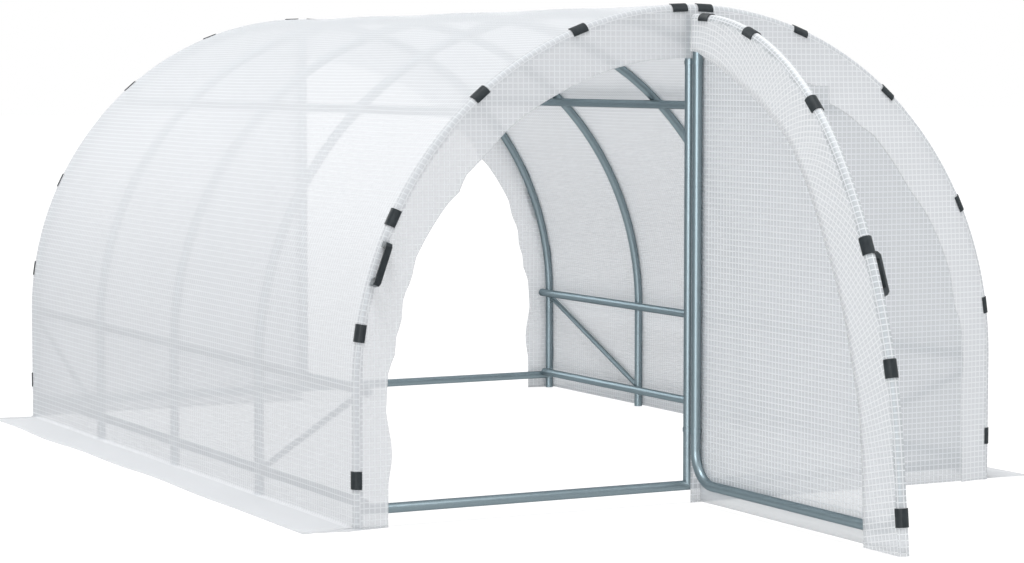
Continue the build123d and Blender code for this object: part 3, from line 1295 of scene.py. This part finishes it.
    def build(self, coat: Coat) -> bpy.types.Object:
        """Args:
            coat: The film's material and slot.

        Returns:
            The film.
        """
        sheet = SheetMesh()
        for rows in (self.face_rows(), self.wrap_rows(), self.band_rows()):
            for row in rows:
                row[:] = [spot._replace(point=leaf_to_world(spot.point, self.end)) for spot in row]
            sheet.grid(rows)
        label = self.end.label
        piece = sheet.build(f"{label}_leaf_film", self.outwards)
        give_thickness(piece, self.thickness)
        dress(piece, coat, self.end.door)
        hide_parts(f"{label}_door_film", f"{label}_door_hem")
        return piece


# Clips


@dataclass
class ClipRow:
    """Snap clips that hold the film on a curved tube, all alike, set along it."""

    name: str
    body: Body
    replaced: tuple[str, ...]
    end: End
    length: float = 0.07
    wall: float = 0.003
    lip: float = 0.006
    film_gap: float = 0.0013

    def section(self) -> list[Flat]:
        """Closed outline of the clip, as distance along the tunnel and outwards from the tube's middle."""
        raise NotImplementedError

    def places(self) -> list[Matrix]:
        """Where each clip sits: X along the tube, Y across and Z outwards."""
        raise NotImplementedError

    def clip(self) -> bpy.types.Object:
        """Makes one clip at the origin, with its length along X.

        Returns:
            The clip's object, not linked to the scene.
        """
        outline = self.section()
        count = len(outline)
        rings = [[(x, y, z) for y, z in outline] for x in (-self.length / 2, self.length / 2)]
        caps = [(i, i + 1, count - 2 - i, count - 1 - i) for i in range(count // 2 - 1)]
        return made_of(prism(rings, caps, corner=0.6, round_off=0.0009), f"{self.name}_one")

    def tree(self, clip: bpy.types.Object, material: bpy.types.Material) -> bpy.types.NodeTree:
        """Builds the tree that sets a clip on every point.

        Args:
            clip: The clip that is repeated.
            material: Its material.

        Returns:
            The geometry node tree.
        """
        tree = bpy.data.node_groups.new(f"{self.name}_row", "GeometryNodeTree")
        tree.interface.new_socket("Geometry", in_out="INPUT", socket_type="NodeSocketGeometry")
        size = tree.interface.new_socket("Length scale", in_out="INPUT", socket_type="NodeSocketFloat")
        size.default_value = 1.0
        tree.interface.new_socket("Geometry", in_out="OUTPUT", socket_type="NodeSocketGeometry")
        sketch = Sketch(tree)
        entry, leave = sketch.node("NodeGroupInput").outputs, sketch.node("NodeGroupOutput").inputs
        source = sketch.node("GeometryNodeObjectInfo")
        turn = sketch.node("GeometryNodeInputNamedAttribute", data_type="FLOAT_VECTOR")
        stretch = sketch.node("ShaderNodeCombineXYZ")
        place = sketch.node("GeometryNodeInstanceOnPoints")
        real = sketch.node("GeometryNodeRealizeInstances")
        paint = sketch.node("GeometryNodeSetMaterial")
        for socket, value in (
            (source.inputs["Object"], clip),
            (turn.inputs["Name"], "turn"),
            (stretch.inputs[0], entry["Length scale"]),
            (stretch.inputs[1], 1.0),
            (stretch.inputs[2], 1.0),
            (place.inputs["Points"], entry["Geometry"]),
            (place.inputs["Instance"], source.outputs["Geometry"]),
            (place.inputs["Rotation"], turn.outputs["Attribute"]),
            (place.inputs["Scale"], stretch.outputs[0]),
            (real.inputs[0], place.outputs[0]),
            (paint.inputs["Geometry"], real.outputs[0]),
            (paint.inputs["Material"], material),
            (leave["Geometry"], paint.outputs[0]),
        ):
            sketch.feed(socket, value)
        return tree

    def build(self, coat: Coat) -> bpy.types.Object:
        """Makes the row of clips as one plain mesh.

        Args:
            coat: The plastic's material and slot.

        Returns:
            The clips.
        """
        places = self.places()
        mesh = bpy.data.meshes.new(self.name)
        mesh.from_pydata([m.translation for m in places], [], [])
        turns = mesh.attributes.new("turn", "FLOAT_VECTOR", "POINT")
        for item, matrix in zip(turns.data, places):
            item.vector = matrix.to_euler()
        piece = linked(bpy.data.objects.new(self.name, mesh))
        clip = self.clip()
        tree = self.tree(clip, coat.material)
        row = piece.modifiers.new("row", "NODES")
        row.node_group = tree
        sockets = {s.name: s.identifier for s in tree.interface.items_tree if s.in_out == "INPUT"}
        row[sockets["Length scale"]] = 1.0
        as_plain_mesh(piece)
        bpy.data.objects.remove(clip)
        dress(piece, coat, self.body)
        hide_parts(*self.replaced)
        return piece


def band_outline(middle: Sequence[Flat], wall: float) -> list[Flat]:
    """Gives a bent line a thickness.

    Args:
        middle: Points along the middle of the wall.
        wall: The wall's thickness.

    Returns:
        The outer side in order, then the inner side in the other order.
    """
    line = [Vector(p) for p in middle]
    outer, inner = [], []
    for i, point in enumerate(line):
        ahead = line[min(i + 1, len(line) - 1)] - line[max(i - 1, 0)]
        side = Vector((-ahead.y, ahead.x)).normalized() * wall / 2
        outer.append(tuple(point + side))
        inner.append(tuple(point - side))
    return outer + inner[::-1]


@dataclass
class HoopClips(ClipRow):
    """Clips over the film on the outer corner of an end hoop."""

    angles: tuple[float, ...] = (2.3, 20.4, 39.9, 63.3, 81.2)
    leg_height: float = 0.19

    def section(self) -> list[Flat]:
        """Outline of the clip over the fold: a rounded corner with a lip along each face.

        Returns:
            The closed outline.
        """
        rise = TUNNEL.fold_centre - TUNNEL.hoop_radius
        radius = TUNNEL.fold_radius + self.film_gap + self.wall / 2
        turns = [math.radians(angle) for angle in range(0, 91, 15)]
        middle = [(self.lip, rise + radius)]
        middle += [(-radius * math.sin(turn), rise + radius * math.cos(turn)) for turn in turns]
        middle.append((-radius, rise - self.lip))
        return band_outline(middle, self.wall)

    def places(self) -> list[Matrix]:
        """Where each clip sits on both sides of the end.

        Returns:
            A matrix for each.
        """
        made = []
        across = Vector((0, 1, 0))
        spots = [(angle, TUNNEL.spring_height) for angle in self.angles] + [(90.0, self.leg_height)]
        for side in (1, -1):
            for angle, height in spots:
                outwards, upwards = heading(angle)
                out = Vector((side * outwards, 0, upwards))
                centre = out * TUNNEL.hoop_radius + Vector((0, -TUNNEL.half_length, height))
                matrix = standing(across.cross(out), across, out, centre)
                made.append(Matrix.Rotation(0 if self.end is End.FRONT else math.pi, 4, "Z") @ matrix)
        return made


@dataclass
class LeafClips(ClipRow):
    """Clips over the film on the arched tube of a leaf."""

    angles: tuple[float, ...] = (3.5, 19, 43, 64, 76)
    leg_height: float = 0.15

    def section(self) -> list[Flat]:
        """Outline of the clip over the arched tube: half a ring with a lip on each face.

        Returns:
            The closed outline.
        """
        radius = TUNNEL.leaf_plane + self.film_gap + self.wall / 2
        turns = [math.radians(angle) for angle in range(0, 181, 15)]
        middle = [(radius, -self.lip)]
        middle += [(radius * math.cos(turn), radius * math.sin(turn)) for turn in turns]
        middle.append((-radius, -self.lip))
        return band_outline(middle, self.wall)

    def places(self) -> list[Matrix]:
        """Where each clip sits along the arched tube.

        Returns:
            A matrix for each.
        """
        spots = [(*LEAF_EDGE.spot(angle), angle) for angle in self.angles]
        spots.append((*LEAF_EDGE.foot(self.leg_height), LEAF_EDGE.side_end))
        made = []
        for out, up, angle in spots:
            outwards, upwards = heading(angle)
            away = Vector((0, -self.end.value * outwards, upwards))
            across = Vector((self.end.value, 0, 0))
            centre = Vector(leaf_to_world((out, 0, up), self.end))
            made.append(standing(across.cross(away), across, away, centre))
        return made


# Grab handles


@dataclass
class GrabHandle:
    """A flat bar on two stout legs.

    Attributes:
        name: The piece's name.
        body: The body that it rides on.
        replaced: The CAD node that it stands for.
        place: Where it stands: X along it and Z outwards from the film.
        reach: Half of its length, in metres.
        rise: Its height.
        width: Its width.
        bar: The bar's thickness.
        leg: Length of a leg's foot.
        shoulder: How far the corners are cut back.
        leg_highlight: How far its legs are drawn lighter grey, as a painted highlight.
    """

    name: str
    body: Body
    replaced: str
    place: Matrix
    reach: float = 0.09
    rise: float = 0.042
    width: float = 0.028
    bar: float = 0.010
    leg: float = 0.026
    shoulder: float = 0.009
    leg_highlight: float = 1.0

    def outline(self) -> list[Flat]:
        """Outline of the handle's side.

        Returns:
            The closed outline, as distance along the handle and height.
        """
        inner, under = self.reach - self.leg, self.rise - self.bar
        cut = self.shoulder
        outer = [(self.reach, 0.0), (self.reach - cut / 2, under), (self.reach - 2 * cut, self.rise)]
        right = outer[::-1] + [(inner, 0.0), (inner - cut / 2, under - cut), (inner - cut, under)]
        return right + [(-x, z) for x, z in reversed(right)]

    def build(self, coat: Coat) -> bpy.types.Object:
        """Makes the handle.

        Args:
            coat: The plastic's material and slot.

        Returns:
            The handle.
        """
        outline = self.outline()
        rings = [[(x, y, z) for x, z in outline] for y in (-self.width / 2, self.width / 2)]
        caps = ((1, 2, 3, 4), (0, 1, 4, 5), (10, 9, 8, 7), (11, 10, 7, 6), (0, 5, 6, 11))
        work = prism(rings, caps, corner=0.3, round_off=0.0014)
        # Painted highlight: the legs are marked to be drawn lighter grey.
        highlight_grey = work.verts.layers.float.new("worn")
        for vert in work.verts:
            on_leg = abs(vert.co.x) > self.reach - self.leg and vert.co.z < self.rise - self.bar
            vert[highlight_grey] = self.leg_highlight if on_leg else 0.0
        bmesh.ops.transform(work, matrix=self.place, verts=work.verts)
        piece = linked(made_of(work, self.name))
        dress(piece, coat, self.body)
        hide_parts(self.replaced)
        return piece


def handle_place(end: End, on_leaf: bool) -> Matrix:
    """Where a handle stands: X along the arch, Z outwards from the film.

    Args:
        end: The end of the tunnel.
        on_leaf: Whether it is on the leaf and not on the hoop.

    Returns:
        The matrix that carries the handle there.
    """
    outwards, upwards = heading(TUNNEL.leaf_handle_angle if on_leaf else TUNNEL.handle_angle)
    if on_leaf:
        out, up = LEAF_EDGE.spot(TUNNEL.leaf_handle_angle)
        spot = (out - TUNNEL.leaf_handle_inset, TUNNEL.leaf_plane + TUNNEL.handle_gap, up)
        centre = leaf_to_world(spot, end)
        along, away = (0, -upwards, -outwards), (1, 0, 0)
    else:
        x, z = -outwards * TUNNEL.hoop_radius, upwards * TUNNEL.hoop_radius
        centre = turned((x, -TUNNEL.flap_plane - TUNNEL.handle_gap, TUNNEL.spring_height + z), end)
        along, away = (-upwards, 0, -outwards), (0, -1, 0)
    along, away = Vector(turned(along, end)), Vector(turned(away, end))
    return standing(along, away.cross(along), away, Vector(centre))


# Studio


class Lamp(NamedTuple):
    """A distant lamp: strength, angle in degrees, direction, and whether it gives highlights only."""

    name: str
    strength: float
    spread: float
    heading: Point
    gloss_only: bool = False


LAMPS = (
    Lamp("key", 2.0, 20.0, (0.25, 0.18, -1.1)),
    Lamp("fill", 0.3, 40.0, (-0.7, 0.5, -0.6)),
    Lamp("post_strip", 3.0, 32.0, (0.72, 0.69, -0.05), gloss_only=True),
    Lamp("rail_strip", 1.0, 32.0, (0.3, -0.86, -0.42), gloss_only=True),
    Lamp("bar_strip", 0.8, 32.0, (-0.51, 0.6, -0.6), gloss_only=True),
)


@dataclass(frozen=True)
class Studio:
    """Pale floor, white surroundings, soft light and the camera.

    Lengths are in metres, angles in degrees, and the sensor in millimetres. The floor gives back light as
    floor_light, and shows as floor_seen with floor_glow, which lifts it to white and keeps its shadow.
    """

    image_width: int = 1024
    focal_pixels: float = 2846.0
    sensor: float = 36.0
    camera_place: Point = (-5.910, -11.943, 1.771)
    yaw: float = 27.163
    pitch: float = 4.283
    surround: float = 0.61
    floor_reach: float = 90.0
    floor_level: float = -0.0015
    floor_light: float = 0.9
    floor_seen: float = 0.26
    floor_glow: float = 0.84
    lamps: tuple[Lamp, ...] = LAMPS

    def camera(self) -> None:
        """Sets the camera at the photograph's angle."""
        data = bpy.data.cameras.new("camera")
        data.sensor_width = self.sensor
        data.lens = self.focal_pixels * self.sensor / self.image_width
        data.clip_end = 2.2 * self.floor_reach + 2.0
        made = linked(bpy.data.objects.new("camera", data))
        made.location = self.camera_place
        made.rotation_euler = (math.radians(90 - self.pitch), 0.0, math.radians(-self.yaw))
        bpy.context.scene.camera = made

    def world(self) -> None:
        """Makes the surroundings plain white to the eye and softer as a light."""
        world = bpy.data.worlds.new("studio")
        world.use_nodes = True
        bpy.context.scene.world = world
        sketch = Sketch(world.node_tree)
        back = world.node_tree.nodes["Background"].inputs
        back["Color"].default_value = (1, 1, 1, 1)
        strength = sketch.math("MULTIPLY_ADD", sketch.seen(), 1 - self.surround, self.surround)
        sketch.feed(back["Strength"], strength)

    def light(self, lamp: Lamp) -> None:
        """Sets up a lamp.

        Args:
            lamp: What it is like.
        """
        data = bpy.data.lights.new(lamp.name, "SUN")
        data.energy = lamp.strength
        data.angle = math.radians(lamp.spread)
        made = linked(bpy.data.objects.new(lamp.name, data))
        made.rotation_euler = Vector(lamp.heading).to_track_quat("-Z", "Y").to_euler()
        made.visible_diffuse = not lamp.gloss_only

    def floor(self) -> None:
        """Makes the pale floor, which keeps a faint shadow."""
        mesh = bpy.data.meshes.new("floor")
        corners = ((-1, -1), (1, -1), (1, 1), (-1, 1))
        reach, level = self.floor_reach, self.floor_level
        mesh.from_pydata([(reach * x, reach * y, level) for x, y in corners], [], [(0, 1, 2, 3)])
        made = linked(bpy.data.objects.new("floor", mesh))
        material = bpy.data.materials.new("floor")
        material.use_nodes = True
        sketch = Sketch(material.node_tree)
        shader = material.node_tree.nodes["Principled BSDF"].inputs
        seen = sketch.seen()
        shader["Roughness"].default_value = 0.9
        shader["Specular IOR Level"].default_value = 0.0
        tones = ((tone, tone, tone, 1) for tone in (self.floor_light, self.floor_seen))
        sketch.feed(shader["Base Color"], sketch.blend(seen, *tones))
        shader["Emission Color"].default_value = (1, 1, 1, 1)
        sketch.feed(shader["Emission Strength"], sketch.math("MULTIPLY", seen, self.floor_glow))
        mesh.materials.append(material)

    def build(self) -> None:
        """Makes the whole studio."""
        bpy.context.scene.view_settings.view_transform = "Standard"
        self.camera()
        self.world()
        self.floor()
        for lamp in self.lamps:
            self.light(lamp)


# Making


def dress_frame(steel: bpy.types.Material, plastic: bpy.types.Material) -> None:
    """Gives the CAD nodes that stay in view their materials.

    Args:
        steel: The tubes' material.
        plastic: The material of clips and handles.
    """
    for name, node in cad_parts.items():
        if node.hide_render:
            continue
        material = plastic if "clips" in name or "handle" in name else steel
        if not node.material_slots:
            node.data.materials.append(material)
        for slot in node.material_slots:
            slot.material = material


FINISHES = (
    FilmFinish("reinforced_film", Slot.FILM),
    FilmFinish(
        "cover_film", Slot.FILM, cell=linear(211, 214, 218), thread=linear(221, 224, 227), cell_cover=0.84
    ),
    # The end panels get a darker copy of the film, as painted shade.
    FilmFinish(
        "panel_film", Slot.FILM, cell=linear(203, 207, 211), thread=linear(219, 222, 226), cell_cover=0.8
    ),
    PlasticFinish("charcoal_plastic", Slot.PLASTIC),
    SteelFinish("galvanised_steel", Slot.STEEL),
)
LEAF_GRIP = {"rise": 0.040, "bar": 0.0115, "leg_highlight": 0.05}
TRANSPARENT_LAYERS = 24


def main() -> None:
    """Builds every piece in order."""
    logging.basicConfig(level=logging.INFO, format="%(name)s: %(message)s")
    bpy.context.scene.cycles.transparent_max_bounces = TRANSPARENT_LAYERS
    Studio().build()
    effects = Effects.build()
    film, cover, panel, plastic, steel = (finish.coat(effects) for finish in FINISHES)
    made = [TunnelCover().build(cover)]
    for end in End:
        label, door = end.label, end.door
        made.append(EndPanel(end).build(panel))
        made.append(LeafCover(end).build(film))
        for row, name, body, node in (
            (HoopClips, "film_clips", Body.TUNNEL, "hoop_clips"),
            (LeafClips, "leaf_clips", door, "door_clips"),
        ):
            made.append(row(f"{label}_{name}", body, (f"{label}_{node}",), end).build(plastic))
        for on_leaf, name, body, node, sizes in (
            (False, "hoop_grip", Body.TUNNEL, "hoop_handle", {}),
            (True, "door_grip", door, "door_handle", LEAF_GRIP),
        ):
            place = handle_place(end, on_leaf)
            handle = GrabHandle(f"{label}_{name}", body, f"{label}_{node}", place, **sizes)
            made.append(handle.build(plastic))
    dress_frame(steel.material, plastic.material)
    for piece in made:
        log.info("%s: %d faces", piece.name, len(piece.data.polygons))


if __name__ == "__main__":
    main()
